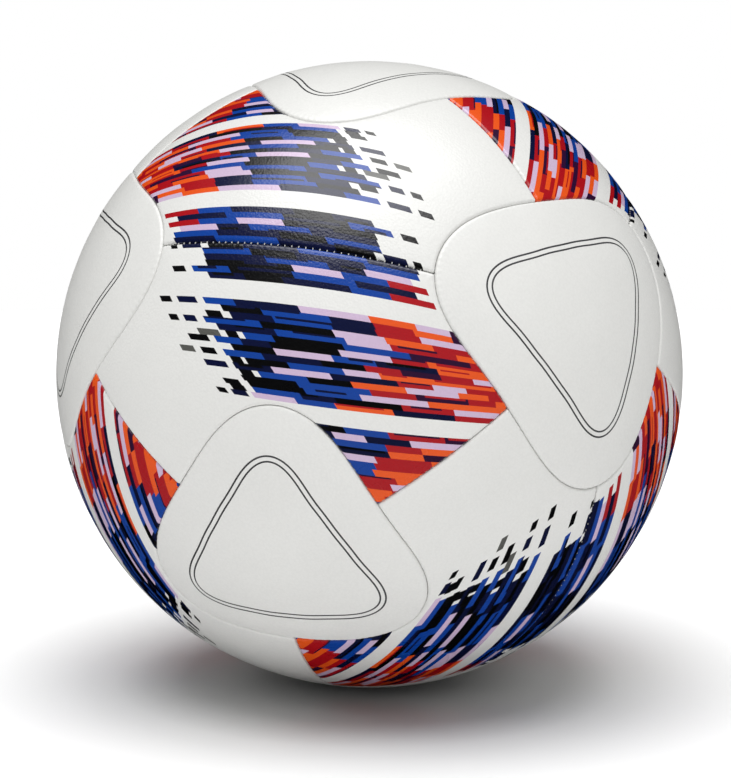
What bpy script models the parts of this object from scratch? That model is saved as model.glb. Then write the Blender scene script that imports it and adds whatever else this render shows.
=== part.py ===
"""Soccer ball, size 5, machine stitched, 20 panels.

Layers from the outside in: moulded cover skins, foam and fabric backings,
seam thread in the grooves, an air bladder, and an inflation valve.

The layout starts from a cube. A rounded-triangle panel sits on each of its
eight corners: four of type A, four of type B, on alternate corners. Each cube
face that is left between them is split by one long seam that joins its two A
corners, which gives twelve identical wing panels. The whole ball repeats under
the twelve rotations of a regular tetrahedron, so each kind of panel is made
once and turned into place.

Metres, +Z up, origin at the centre of the ball.
"""

import math

import bmesh
import bpy
from mathutils import Euler, Matrix, Vector
from mathutils.geometry import delaunay_2d_cdt

# ---------------------------------------------------------------- dimensions
BALL_RADIUS = 0.1100        # size 5: about 69 cm round
SKIN_THICKNESS = 0.0010
BACKING_OUTER_RADIUS = 0.10865
BACKING_THICKNESS = 0.0032
BLADDER_RADIUS = 0.1042
BLADDER_WALL = 0.0008

SEAM_GAP = 0.0014           # between neighbouring panel edges
THREAD_WIDTH = 0.0008
THREAD_DEPTH = 0.0008
THREAD_OUTER_RADIUS = 0.1097
CLEARANCE = 0.00035

# Outline of a triangle panel: angular radius in degrees against azimuth,
# mean + 3-fold + 6-fold term. Azimuth 0 is a corner, 60 the middle of a side.
TRIANGLE_MEAN = 25.6
TRIANGLE_CORNER = 3.6
TRIANGLE_ROUNDING = 0.33
TRIANGLE_SKEW = -0.35
TYPE_B_SCALE = 0.93

# Where the seams meet the triangle panels, in degrees round the outline.
LONG_SEAM_TWIST = 2.2
SHORT_SEAM_TWIST_A = 1.7
SHORT_SEAM_TWIST_B = -0.9

OUTLINE_STEPS = (0.0, 8.0, 18.0, 30.0, 45.0, 60.0)
LONG_SEAM_PIECES = 10
SHORT_SEAM_PIECES = 5
FACET_PITCH = 0.0165        # spacing of the surface points inside a panel

# Valve, millimetres along and across its own axis from the ball's centre.
VALVE_HOLE_RADIUS = 0.0043
VALVE_TOP = 0.10955

# Rest attitude of the ball, degrees about X, Y, Z.
REST_ATTITUDE = (-39.4, -36.2, 9.8)

A_CORNERS = [Vector(v).normalized() for v in ((1, 1, 1), (1, -1, -1), (-1, 1, -1), (-1, -1, 1))]
B_CORNERS = [-v for v in A_CORNERS]

# ---------------------------------------------------------------- clean start
for old in list(bpy.data.objects):
    bpy.data.objects.remove(old, do_unlink=True)
for old in list(bpy.data.meshes):
    bpy.data.meshes.remove(old)

collection = bpy.data.collections.new("soccer_ball")
bpy.context.scene.collection.children.link(collection)

attitude = bpy.data.objects.new("rest_attitude", None)
attitude.rotation_euler = Euler([math.radians(a) for a in REST_ATTITUDE], "XYZ")
collection.objects.link(attitude)


def material(name, colour, roughness, metallic=0.0):
    mat = bpy.data.materials.new(name)
    mat.use_nodes = True
    shader = mat.node_tree.nodes["Principled BSDF"]
    shader.inputs["Base Color"].default_value = (*colour, 1.0)
    shader.inputs["Roughness"].default_value = roughness
    shader.inputs["Metallic"].default_value = metallic
    mat.diffuse_color = (*colour, 1.0)
    return mat


WHITE_SKIN = material("white_cover_skin", (0.86, 0.86, 0.84), 0.42)
PRINTED_SKIN = material("printed_cover_skin", (0.10, 0.16, 0.55), 0.40)
BACKING = material("foam_and_fabric_backing", (0.80, 0.78, 0.70), 0.90)
THREAD = material("seam_thread", (0.70, 0.70, 0.68), 0.75)
BUTYL = material("bladder_butyl", (0.03, 0.03, 0.035), 0.55)
VALVE_RUBBER = material("valve_rubber", (0.05, 0.05, 0.055), 0.60)
VALVE_CORE = material("valve_core_rubber", (0.55, 0.52, 0.45), 0.55)


# ---------------------------------------------------------------- sphere tools
def frame_at(corner):
    """Axes at a corner: outward normal, towards a same-type corner, and left of it."""
    family = A_CORNERS if any((corner - a).length < 1e-6 for a in A_CORNERS) else B_CORNERS
    other = next(c for c in family if (c - corner).length > 1e-3)
    toward = (other - corner * other.dot(corner)).normalized()
    return corner, toward, corner.cross(toward)


def scale_of(corner):
    return 1.0 if any((corner - a).length < 1e-6 for a in A_CORNERS) else TYPE_B_SCALE


def outline_angle(corner, azimuth):
    """Angular radius of a triangle panel's seam line, in radians."""
    degrees = (TRIANGLE_MEAN + TRIANGLE_CORNER * math.cos(3 * azimuth)
               + TRIANGLE_ROUNDING * math.cos(6 * azimuth) + TRIANGLE_SKEW * math.sin(3 * azimuth))
    return math.radians(degrees * scale_of(corner))


def outline_point(corner, azimuth, offset=0.0):
    """A direction on the seam line round a corner, offset metres away from its centre."""
    normal, toward, left = frame_at(corner)
    angle = outline_angle(corner, azimuth) + offset / BALL_RADIUS
    return (normal * math.cos(angle)
            + (toward * math.cos(azimuth) + left * math.sin(azimuth)) * math.sin(angle))


def azimuth_to(corner, target):
    normal, toward, left = frame_at(corner)
    return math.atan2(target.dot(left), target.dot(toward))


def junction(corner, target):
    """Azimuth round `corner` where its seam towards `target` starts."""
    a_here, a_there = scale_of(corner) == 1.0, scale_of(target) == 1.0
    if a_here and a_there:
        twist = LONG_SEAM_TWIST
    else:
        twist = SHORT_SEAM_TWIST_A if a_here else SHORT_SEAM_TWIST_B
    return azimuth_to(corner, target) + math.radians(twist)


def arc(start, end, pieces, side=0.0):
    """Points from start to end on a great circle, shifted `side` metres to its left."""
    angle = start.angle(end)
    left = start.cross(end).normalized() * math.tan(side / BALL_RADIUS)
    points = []
    for i in range(pieces + 1):
        t = i / pieces
        p = (start * math.sin((1 - t) * angle) + end * math.sin(t * angle)) / math.sin(angle)
        points.append((p + left).normalized())
    return points


def outline_run(corner, start, end, offset):
    """Directions strictly between two azimuths of an outline, at the shared steps."""
    while end - start > math.pi:
        end -= 2 * math.pi
    while start - end > math.pi:
        end += 2 * math.pi
    steps = []
    for period in range(-9, 10):
        for step in OUTLINE_STEPS[:-1]:
            steps.append(math.radians(period * 120 + step))
            steps.append(math.radians(period * 120 - step))
        steps.append(math.radians(period * 120 + 60))
    low, high = min(start, end), max(start, end)
    inside = sorted({round(s, 6) for s in steps if low + 0.045 < s < high - 0.045})
    if end < start:
        inside.reverse()
    return [outline_point(corner, s, offset) for s in inside]


# ---------------------------------------------------------------- panel outlines
def triangle_outline(corner):
    azimuths = sorted({round(math.radians(p * 120 + s * sign), 6) % (2 * math.pi)
                       for p in range(3) for s in OUTLINE_STEPS for sign in (1, -1)})
    merged = []
    for a in azimuths:
        if not merged or a - merged[-1] > 1e-4:
            merged.append(a)
    return [outline_point(corner, a, -SEAM_GAP / 2) for a in merged]


def wing_outline(a_start, a_end, b_corner):
    """The closed edge of the wing panel between two A corners and one B corner."""
    half = SEAM_GAP / 2

    def beside_seam(corner, target, toward):
        """Azimuth half a seam gap from the seam to `target`, on the side of `toward`."""
        azimuth = junction(corner, target)
        shift = math.asin(math.sin(half / BALL_RADIUS) / math.sin(outline_angle(corner, azimuth)))
        turn = math.remainder(azimuth_to(corner, toward) - azimuth, 2 * math.pi)
        return azimuth + math.copysign(shift, turn)

    middle = (a_start + a_end).normalized()     # the wing lies on this side of the B panel
    runs = []
    for corner, first, last in ((a_start, (a_end, b_corner), (b_corner, a_end)),
                                (b_corner, (a_start, middle), (a_end, middle)),
                                (a_end, (b_corner, a_start), (a_start, b_corner))):
        start, end = beside_seam(corner, *first), beside_seam(corner, *last)
        runs.append([outline_point(corner, start, half)] + outline_run(corner, start, end, half)
                    + [outline_point(corner, end, half)])
    loop = []
    for run, following, pieces in zip(runs, runs[1:] + runs[:1],
                                      (SHORT_SEAM_PIECES, SHORT_SEAM_PIECES, LONG_SEAM_PIECES)):
        loop += run + arc(run[-1], following[0], pieces)[1:-1]
    return loop


# ---------------------------------------------------------------- surface patches
def inside(point, polygon):
    hit = False
    for (x0, y0), (x1, y1) in zip(polygon, polygon[1:] + polygon[:1]):
        if (y0 > point[1]) != (y1 > point[1]):
            if point[0] < (x1 - x0) * (point[1] - y0) / (y1 - y0) + x0:
                hit = not hit
    return hit


def distance_to(point, polygon):
    p, best = Vector(point), 1e9
    for a, b in zip(polygon, polygon[1:] + polygon[:1]):
        a, b = Vector(a), Vector(b)
        t = max(0.0, min(1.0, (p - a).dot(b - a) / max((b - a).length_squared, 1e-18)))
        best = min(best, (a + (b - a) * t - p).length)
    return best


def patch_mesh(name, loops, centre, radius):
    """An open surface on the sphere inside the first loop and outside the others."""
    normal = centre.normalized()
    across = normal.orthogonal().normalized()
    up = normal.cross(across)

    def flatten(p):
        flat = Vector((p.dot(across), p.dot(up)))
        angle = normal.angle(p)
        return flat.normalized() * angle if flat.length > 1e-9 else flat

    def lift(q):
        q = Vector(q)
        if q.length < 1e-9:
            return normal.copy()
        d = q.normalized()
        return normal * math.cos(q.length) + (across * d.x + up * d.y) * math.sin(q.length)

    polygons = [[tuple(flatten(p)) for p in loop] for loop in loops]
    points, directions, edges = [], [], []
    for loop, polygon in zip(loops, polygons):
        start = len(points)
        points += polygon
        directions += loop
        edges += [(start + i, start + (i + 1) % len(loop)) for i in range(len(loop))]
    pitch = FACET_PITCH / BALL_RADIUS
    rows = int(1.2 / (pitch * 0.866)) + 1
    for row in range(-rows, rows + 1):
        for column in range(-rows, rows + 1):
            q = ((column + 0.5 * (row % 2)) * pitch, row * pitch * 0.866)
            if not inside(q, polygons[0]) or any(inside(q, hole) for hole in polygons[1:]):
                continue
            if min(distance_to(q, polygon) for polygon in polygons) > 0.55 * pitch:
                points.append(q)
                directions.append(lift(q))
    flat, _, faces, origin, _, _ = delaunay_2d_cdt([Vector(p) for p in points], edges, [], 1, 1e-7)

    bm = bmesh.new()
    verts = []
    for position, sources in zip(flat, origin):
        direction = directions[sources[0]] if sources else lift(position)
        verts.append(bm.verts.new(direction * radius))
    for face in faces:
        middle = [sum(flat[i][k] for i in face) / len(face) for k in (0, 1)]
        if inside(middle, polygons[0]) and not any(inside(middle, hole) for hole in polygons[1:]):
            bm.faces.new([verts[i] for i in face])
    bmesh.ops.delete(bm, geom=[v for v in bm.verts if not v.link_faces], context="VERTS")
    return finish_surface(bm, name)


def finish_surface(bm, name):
    """Turn every face outwards and store the surface as a mesh."""
    bm.normal_update()
    for face in bm.faces:
        if face.normal.dot(face.calc_center_median()) < 0:
            face.normal_flip()
    mesh = bpy.data.meshes.new(name)
    bm.to_mesh(mesh)
    bm.free()
    mesh.shade_smooth()
    mesh.set_sharp_from_angle(angle=math.radians(40))
    return mesh


def place(name, mesh, mat, rotation=Matrix.Identity(3), thickness=None):
    """An object on the ball, turned from its pattern position by `rotation`."""
    obj = bpy.data.objects.new(name, mesh)
    if not mesh.materials:
        mesh.materials.append(mat)
    obj.rotation_mode = "QUATERNION"
    obj.rotation_quaternion = rotation.to_quaternion()
    obj.parent = attitude
    collection.objects.link(obj)
    if thickness:
        shell = obj.modifiers.new("thickness", "SOLIDIFY")
        shell.thickness = thickness
        shell.offset = -1.0
        shell.use_rim = True
    return obj


# ---------------------------------------------------------------- the twelve rotations
def tetrahedral_rotations():
    rotations = []
    for shift in range(3):
        for signs in ((1, 1, 1), (1, -1, -1), (-1, 1, -1), (-1, -1, 1)):
            turn = Matrix([[0.0] * 3 for _ in range(3)])
            for i in range(3):
                turn[i][(i + shift) % 3] = signs[i]
            rotations.append(turn)
    return rotations


ROTATIONS = tetrahedral_rotations()


def rotation_taking(start, end):
    return next(r for r in ROTATIONS if (r @ start - end).length < 1e-5)


# ---------------------------------------------------------------- panels
BACKING_RADIUS = BACKING_OUTER_RADIUS
VALVE_CORNER = A_CORNERS[0]


def valve_hole(corner, radius):
    normal, toward, left = frame_at(corner)
    angle = math.asin(VALVE_HOLE_RADIUS / radius)
    return [normal * math.cos(angle) + (toward * math.cos(t) + left * math.sin(t)) * math.sin(angle)
            for t in (2 * math.pi * i / 16 for i in range(16))]


for family, corners in (("a", A_CORNERS), ("b", B_CORNERS)):
    pattern = corners[1]
    outline = triangle_outline(pattern)
    skin = patch_mesh(f"triangle_{family}_skin", [outline], pattern, BALL_RADIUS)
    backing = patch_mesh(f"triangle_{family}_backing", [outline], pattern, BACKING_RADIUS)
    for number, corner in enumerate(corners, 1):
        turn = rotation_taking(pattern, corner)
        if corner is VALVE_CORNER:
            holed = triangle_outline(corner)
            valve_skin = patch_mesh("triangle_valve_skin", [holed, valve_hole(corner, BALL_RADIUS)], corner, BALL_RADIUS)
            valve_backing = patch_mesh("triangle_valve_backing", [holed, valve_hole(corner, BACKING_RADIUS)], corner, BACKING_RADIUS)
            place(f"triangle_skin_{family}{number}", valve_skin, WHITE_SKIN, thickness=SKIN_THICKNESS)
            place(f"triangle_backing_{family}{number}", valve_backing, BACKING, thickness=BACKING_THICKNESS)
        else:
            place(f"triangle_skin_{family}{number}", skin, WHITE_SKIN, turn, SKIN_THICKNESS)
            place(f"triangle_backing_{family}{number}", backing, BACKING, turn, BACKING_THICKNESS)

wing = wing_outline(A_CORNERS[0], A_CORNERS[1], Vector((1, 1, -1)).normalized())
wing_centre = Vector((1.0, 0.22, -0.22)).normalized()
wing_skin = patch_mesh("wing_skin", [wing], wing_centre, BALL_RADIUS)
wing_backing = patch_mesh("wing_backing", [wing], wing_centre, BACKING_RADIUS)
for number, turn in enumerate(ROTATIONS, 1):
    place(f"wing_skin_{number:02d}", wing_skin, PRINTED_SKIN, turn, SKIN_THICKNESS)
    place(f"wing_backing_{number:02d}", wing_backing, BACKING, turn, BACKING_THICKNESS)


# ---------------------------------------------------------------- seam thread
def thread_mesh(name, corner, short_seams):
    """The thread round a triangle panel, with the short seams that leave it."""
    half = THREAD_WIDTH / 2
    azimuths = [math.radians(p * 120 + s * sign) % (2 * math.pi)
                for p in range(3) for s in OUTLINE_STEPS[:-1] for sign in (1, -1)]
    azimuths += [math.radians(p * 120 + 60) for p in range(3)]
    starts = {}
    for target in short_seams:
        middle = junction(corner, target) % (2 * math.pi)
        half_angle = half / BALL_RADIUS / math.sin(outline_angle(corner, middle))
        azimuths = [a for a in azimuths if abs(math.remainder(a - middle, 2 * math.pi)) > 0.045]
        azimuths += [middle - half_angle, middle + half_angle]
        starts[middle - half_angle] = target
    azimuths = sorted(azimuths)
    unique = [a for i, a in enumerate(azimuths) if i == 0 or a - azimuths[i - 1] > 1e-4]

    bm = bmesh.new()
    inner = [bm.verts.new(outline_point(corner, a, -half) * THREAD_OUTER_RADIUS) for a in unique]
    outer = [bm.verts.new(outline_point(corner, a, half) * THREAD_OUTER_RADIUS) for a in unique]
    for i in range(len(unique)):
        j = (i + 1) % len(unique)
        bm.faces.new((inner[i], inner[j], outer[j], outer[i]))
    for a, target in starts.items():
        i = min(range(len(unique)), key=lambda k: abs(unique[k] - a))
        pair = (outer[i], outer[(i + 1) % len(unique)])
        azimuth = junction(corner, target)
        begin = outline_point(corner, azimuth, half)
        stop = outline_point(target, junction(target, corner), half + CLEARANCE)
        lefts = arc(begin, stop, SHORT_SEAM_PIECES, half)
        rights = arc(begin, stop, SHORT_SEAM_PIECES, -half)
        # Whichever ring point lies on the left side starts the left edge.
        near = sorted(pair, key=lambda v: (v.co.normalized() - lefts[0]).length)
        row = (near[0], near[1])
        for l, r in zip(lefts[1:], rights[1:]):
            following = (bm.verts.new(l * THREAD_OUTER_RADIUS), bm.verts.new(r * THREAD_OUTER_RADIUS))
            bm.faces.new((row[0], following[0], following[1], row[1]))
            row = following
    return finish_surface(bm, name)


def long_thread_mesh(name, a_start, a_end):
    half = THREAD_WIDTH / 2
    begin = outline_point(a_start, junction(a_start, a_end), half + CLEARANCE)
    stop = outline_point(a_end, junction(a_end, a_start), half + CLEARANCE)
    bm = bmesh.new()
    row = None
    for l, r in zip(arc(begin, stop, LONG_SEAM_PIECES, half), arc(begin, stop, LONG_SEAM_PIECES, -half)):
        following = (bm.verts.new(l * THREAD_OUTER_RADIUS), bm.verts.new(r * THREAD_OUTER_RADIUS))
        if row:
            bm.faces.new((row[0], row[1], following[1], following[0]))
        row = following
    return finish_surface(bm, name)


pattern = A_CORNERS[1]
neighbours = [b for b in B_CORNERS if (b - pattern).length < 1.5]
ring_a = thread_mesh("ring_thread_a", pattern, neighbours)
for number, corner in enumerate(A_CORNERS, 1):
    place(f"seam_thread_a{number}", ring_a, THREAD, rotation_taking(pattern, corner), THREAD_DEPTH)

pattern = B_CORNERS[1]
ring_b = thread_mesh("ring_thread_b", pattern, [])
for number, corner in enumerate(B_CORNERS, 1):
    place(f"seam_thread_b{number}", ring_b, THREAD, rotation_taking(pattern, corner), THREAD_DEPTH)

long_thread = long_thread_mesh("long_thread", A_CORNERS[0], A_CORNERS[1])
number = 0
for axis in (Vector((1, 0, 0)), Vector((-1, 0, 0)), Vector((0, 1, 0)), Vector((0, -1, 0)), Vector((0, 0, 1)), Vector((0, 0, -1))):
    number += 1
    place(f"seam_thread_long_{number}", long_thread, THREAD, rotation_taking(Vector((1, 0, 0)), axis), THREAD_DEPTH)


# ---------------------------------------------------------------- bladder and valve
def turned(name, profile, mat, closed, steps):
    """A turned part: profile points (radius, height) swept round the valve's axis."""
    mesh = bpy.data.meshes.new(name)
    points = [(r, 0.0, z) for r, z in profile]
    edges = [(i, i + 1) for i in range(len(points) - 1)]
    if closed:
        edges.append((len(points) - 1, 0))
    mesh.from_pydata(points, edges, [])
    obj = place(name, mesh, mat, VALVE_CORNER.to_track_quat("Z", "Y").to_matrix())
    screw = obj.modifiers.new("turn", "SCREW")
    screw.axis = "Z"
    screw.angle = 2 * math.pi
    screw.steps = screw.render_steps = steps
    screw.use_merge_vertices = True
    screw.merge_threshold = 0.00005
    screw.use_normal_calculate = False
    screw.use_smooth_shade = True
    return obj


def bladder_profile():
    inner_radius = BLADDER_RADIUS - BLADDER_WALL
    hole = math.degrees(math.asin(VALVE_HOLE_RADIUS / BLADDER_RADIUS))
    angles = [hole, 11.0] + [22.0 + 12.154 * i for i in range(14)]
    angles = [a for a in angles if a < 179.0] + [180.0]
    outside = [(BLADDER_RADIUS * math.sin(math.radians(a)), BLADDER_RADIUS * math.cos(math.radians(a))) for a in angles]
    within = [(inner_radius * math.sin(math.radians(a)), inner_radius * math.cos(math.radians(a))) for a in angles]
    within[0] = (VALVE_HOLE_RADIUS, math.sqrt(inner_radius ** 2 - VALVE_HOLE_RADIUS ** 2))
    outside[-1] = (0.0, -BLADDER_RADIUS)
    within[-1] = (0.0, -inner_radius)
    return list(reversed(within)) + outside


turned("bladder", bladder_profile(), BUTYL, False, 26)

turned("valve_body", [
    (0.0038, VALVE_TOP), (0.0038, 0.1010), (0.0080, 0.1008), (0.0080, 0.0998), (0.0052, 0.0990),
    (0.0046, 0.0880), (0.0026, 0.0880), (0.0026, 0.1083), (0.0016, 0.1083), (0.0016, VALVE_TOP),
], VALVE_RUBBER, True, 20)

turned("valve_core", [
    (0.0, 0.0858), (0.0005, 0.0940), (0.0007, 0.1079), (0.0019, 0.1079), (0.0023, 0.1074),
    (0.0023, 0.0866), (0.0015, 0.0850), (0.0, 0.0850),
], VALVE_CORE, False, 16)

turned("valve_patch", [
    (0.0042, 0.1027), (0.0140, 0.1015), (0.0140, 0.1009), (0.0042, 0.1019),
], BUTYL, True, 24)

bpy.context.view_layer.update()
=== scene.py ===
"""Looks of the soccer ball: stitched cover panels with their printed streaks,
seam thread, backings, bladder and valve, on a pale studio floor.

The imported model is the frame. Lengths below are millimetres unless a name says
otherwise, in the ball's own layout axes, and every piece is turned into its
place by the rest attitude and one of the twelve rotations of the layout.
"""

import math
import random

import bpy
import numpy as np
from mathutils import Euler, Matrix, Vector
from mathutils.geometry import delaunay_2d_cdt


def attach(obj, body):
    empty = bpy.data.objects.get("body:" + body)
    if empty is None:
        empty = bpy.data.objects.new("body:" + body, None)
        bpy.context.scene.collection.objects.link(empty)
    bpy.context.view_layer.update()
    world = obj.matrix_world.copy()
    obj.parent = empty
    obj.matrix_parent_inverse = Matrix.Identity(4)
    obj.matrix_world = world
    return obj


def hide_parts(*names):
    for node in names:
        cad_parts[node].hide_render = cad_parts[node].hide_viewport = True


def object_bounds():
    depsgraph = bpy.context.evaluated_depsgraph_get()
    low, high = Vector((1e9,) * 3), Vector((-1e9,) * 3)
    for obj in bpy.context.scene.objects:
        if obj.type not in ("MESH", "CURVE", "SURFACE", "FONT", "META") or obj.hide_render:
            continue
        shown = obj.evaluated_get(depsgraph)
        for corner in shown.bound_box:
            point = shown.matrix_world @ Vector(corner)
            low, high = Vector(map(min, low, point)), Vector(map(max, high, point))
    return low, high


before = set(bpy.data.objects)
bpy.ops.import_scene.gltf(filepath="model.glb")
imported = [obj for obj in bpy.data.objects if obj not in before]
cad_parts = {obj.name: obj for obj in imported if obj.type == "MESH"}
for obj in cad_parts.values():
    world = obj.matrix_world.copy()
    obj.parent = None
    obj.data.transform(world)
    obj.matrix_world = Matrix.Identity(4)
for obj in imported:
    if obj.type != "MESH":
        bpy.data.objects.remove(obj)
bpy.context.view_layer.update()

# ---------------------------------------------------------------- dimensions
R = 110.0                     # outside of the ball
TRIANGLE_MEAN = 25.6
TRIANGLE_CORNER = 3.6
TRIANGLE_ROUNDING = 0.33
TRIANGLE_SKEW = -0.35
TYPE_B_SCALE = 0.93
LONG_SEAM_TWIST = 2.2
SHORT_SEAM_TWIST_A = 1.7
SHORT_SEAM_TWIST_B = -0.9
REST_ATTITUDE = (-39.4, -36.2, 9.8)

STITCH_PITCH = 2.35
SEAM_HALF = 0.06              # half the width of a closed seam
LONG_SEAM_HALF = 0.15         # the long seams stand a little more open
EDGE_STEP = 0.47
EDGE_WIDTH = 1.15             # how far in from its edge a panel rolls over
EDGE_DROP = 0.85
EDGE_SINK = 0.30
PUCKER = 0.10
CORNER_ROUNDING = 0.7
SKIN_INNER = 108.25
BACKING_OUTER, BACKING_INNER = 108.1, 105.45
BLADDER_OUTER, BLADDER_INNER = 104.2, 103.4
RINGS = [EDGE_WIDTH * (1 - math.cos(math.radians(a))) for a in range(0, 91, 15)] + [2.2, 3.3, 4.8]

HOLE_RADIUS = 4.25            # valve hole in the cover
HOLE_ROLL, HOLE_DROP = 0.9, 0.8

ATTITUDE = Euler([math.radians(a) for a in REST_ATTITUDE], "XYZ").to_matrix()


def unit(v):
    v = np.asarray(v, float)
    return v / np.linalg.norm(v, axis=-1, keepdims=True)


A = [unit(v) for v in ((1, 1, 1), (1, -1, -1), (-1, 1, -1), (-1, -1, 1))]
B = [-v for v in A]


# ---------------------------------------------------------------- layout of the seams
def is_a(corner):
    return corner[0] * corner[1] * corner[2] > 0


def scale_of(corner):
    return 1.0 if is_a(corner) else TYPE_B_SCALE


def frame_at(corner):
    """Outward normal, towards the first other corner of its family, and left of it."""
    family = A if is_a(corner) else B
    other = next(c for c in family if np.linalg.norm(c - corner) > 1e-3)
    toward = unit(other - corner * other.dot(corner))
    return corner, toward, np.cross(corner, toward)


def outline_angle(corner, azimuth):
    azimuth = np.asarray(azimuth, float)
    degrees = (TRIANGLE_MEAN + TRIANGLE_CORNER * np.cos(3 * azimuth)
               + TRIANGLE_ROUNDING * np.cos(6 * azimuth) + TRIANGLE_SKEW * np.sin(3 * azimuth))
    return np.radians(degrees * scale_of(corner))


def outline_point(corner, azimuth, offset=0.0):
    """Directions on the seam line round a corner, offset millimetres outwards."""
    normal, toward, left = frame_at(corner)
    azimuth = np.asarray(azimuth, float)
    angle = (outline_angle(corner, azimuth) + offset / R)[..., None]
    a = azimuth[..., None]
    return normal * np.cos(angle) + (toward * np.cos(a) + left * np.sin(a)) * np.sin(angle)


def azimuth_to(corner, target):
    normal, toward, left = frame_at(corner)
    return math.atan2(target.dot(left), target.dot(toward))


def junction(corner, target):
    """Azimuth round `corner` where its seam towards `target` starts."""
    if is_a(corner) and is_a(target):
        twist = LONG_SEAM_TWIST
    else:
        twist = SHORT_SEAM_TWIST_A if is_a(corner) else SHORT_SEAM_TWIST_B
    return azimuth_to(corner, target) + math.radians(twist)


def slerp(start, end, t):
    angle = math.acos(max(-1.0, min(1.0, float(start.dot(end)))))
    t = np.asarray(t, float)[:, None]
    return unit(start * np.sin((1 - t) * angle) + end * np.sin(t * angle))


def third_table(family_corner):
    """Length along a third of an outline: samples of azimuth and length, and the stitches in it."""
    azimuth = np.radians(np.linspace(0, 120, 721))
    points = outline_point(family_corner, azimuth) * R
    length = np.concatenate([[0], np.cumsum(np.linalg.norm(np.diff(points, axis=0), axis=1))])
    return azimuth, length, round(length[-1] / STITCH_PITCH)


THIRDS = {True: third_table(A[0]), False: third_table(B[0])}


def outline_phase(corner, azimuth):
    """Stitches counted along an outline, so that both sides of a seam agree."""
    table, length, count = THIRDS[bool(is_a(corner))]
    azimuth = np.asarray(azimuth, float)
    third = 2 * math.pi / 3
    whole = np.floor(azimuth / third)
    return count * (whole + np.interp(azimuth - whole * third, table, length) / length[-1])


def seam_stitches(corner, target):
    start = outline_point(corner, junction(corner, target))
    end = outline_point(target, junction(target, corner))
    return max(4, round(math.acos(float(start.dot(end))) * R / STITCH_PITCH))


def outline_azimuths(corner, start, end, step=EDGE_STEP):
    """Azimuths from start to end, the short way round, evenly spaced along the outline."""
    while end - start > math.pi:
        end -= 2 * math.pi
    while start - end > math.pi:
        end += 2 * math.pi
    fine = np.linspace(start, end, 400)
    points = outline_point(corner, fine) * R
    length = np.concatenate([[0], np.cumsum(np.linalg.norm(np.diff(points, axis=0), axis=1))])
    n = max(2, round(length[-1] / step))
    return np.interp(np.linspace(0, length[-1], n + 1), length, fine)


# ---------------------------------------------------------------- panel edges
def triangle_edge(corner, half=SEAM_HALF, step=EDGE_STEP):
    azimuth = np.concatenate([outline_azimuths(corner, math.radians(a), math.radians(a + 120), step)[:-1]
                              for a in (0, 120, 240)])
    return outline_point(corner, azimuth, -half), outline_phase(corner, azimuth), []


def wing_edge(half=SEAM_HALF, long_half=LONG_SEAM_HALF, step=EDGE_STEP):
    """The edge of the wing panel between A[0], the B corner (1, 1, -1) and A[1]."""
    a_start, a_end, b_corner = A[0], A[1], unit((1, 1, -1))
    middle = unit(a_start + a_end)

    def beside(corner, target, toward, clear):
        azimuth = junction(corner, target)
        shift = math.asin(math.sin(clear / R) / math.sin(float(outline_angle(corner, azimuth))))
        turn = math.remainder(azimuth_to(corner, toward) - azimuth, 2 * math.pi)
        return azimuth + math.copysign(shift, turn)

    ends = []
    for corner, first, last in ((a_start, (a_end, b_corner, long_half), (b_corner, a_end, half)),
                                (b_corner, (a_start, middle, half), (a_end, middle, half)),
                                (a_end, (b_corner, a_start, half), (a_start, b_corner, long_half))):
        ends.append((corner, beside(corner, *first), beside(corner, *last)))
    points, phase, corners = [], [], []
    for i, (corner, start, end) in enumerate(ends):
        azimuth = outline_azimuths(corner, start, end, step)
        run = outline_point(corner, azimuth, half)
        corners.append(sum(len(p) for p in points))
        points.append(run[:-1])
        phase.append(outline_phase(corner, azimuth)[:-1])
        following, next_start, _ = ends[(i + 1) % 3]
        stop = outline_point(following, next_start, half)
        count = seam_stitches(corner, following)
        n = max(4, round(math.acos(float(run[-1].dot(stop))) * R / step))
        t = np.linspace(0, 1, n + 1)[:-1]
        corners.append(sum(len(p) for p in points))
        points.append(slerp(run[-1], stop, t))
        phase.append(count * t)
    return np.concatenate(points), np.concatenate(phase), corners


def round_corners(points, phase, corners, reach=CORNER_ROUNDING):
    """Cuts each corner of an edge back to a small curve."""
    if not corners:
        return points, phase
    keep_p, keep_f, skip = [], [], set()
    curves = {}
    n = len(points)
    for c in corners:
        back, ahead = c, c
        while np.linalg.norm(points[(back - 1) % n] - points[c]) * R < reach:
            back -= 1
        while np.linalg.norm(points[(ahead + 1) % n] - points[c]) * R < reach:
            ahead += 1
        p0, p1, p2 = points[(back - 1) % n], points[c], points[(ahead + 1) % n]
        for i in range(back, ahead + 1):
            skip.add(i % n)
        ts = (0.2, 0.4, 0.6, 0.8)
        curves[back % n] = [unit(p0 * (1 - t) ** 2 + p1 * 2 * t * (1 - t) + p2 * t * t) for t in ts]
    for i in range(n):
        if i in curves:
            keep_p += curves[i]
            keep_f += [0.5] * len(curves[i])
        if i not in skip:
            keep_p.append(points[i])
            keep_f.append(phase[i])
    return np.array(keep_p), np.array(keep_f)


def inward_normals(points):
    """Unit vectors in the surface, to the left of each segment of a closed edge."""
    following = np.roll(points, -1, 0)
    return unit(np.cross(points, following - points))


def loosen(points, seed, amount):
    """Moves an edge in and out a little, smoothly along its length."""
    rng = random.Random(seed)
    following, before = np.roll(points, -1, 0), np.roll(points, 1, 0)
    left = unit(np.cross(points, following - before))
    steps = np.linalg.norm(following - points, axis=1) * R
    s = np.concatenate([[0], np.cumsum(steps)[:-1]])
    total = steps.sum()
    wave = np.zeros(len(points))
    for k in (7, 11, 17, 26, 41):
        wave += rng.uniform(0.5, 1.0) / k ** 0.5 * np.sin(2 * math.pi * k * s / total + rng.uniform(0, 6.28))
    wave = wave / np.abs(wave).max()
    return unit(points + left * (0.5 + 0.5 * wave)[:, None] * amount / R)


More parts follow.
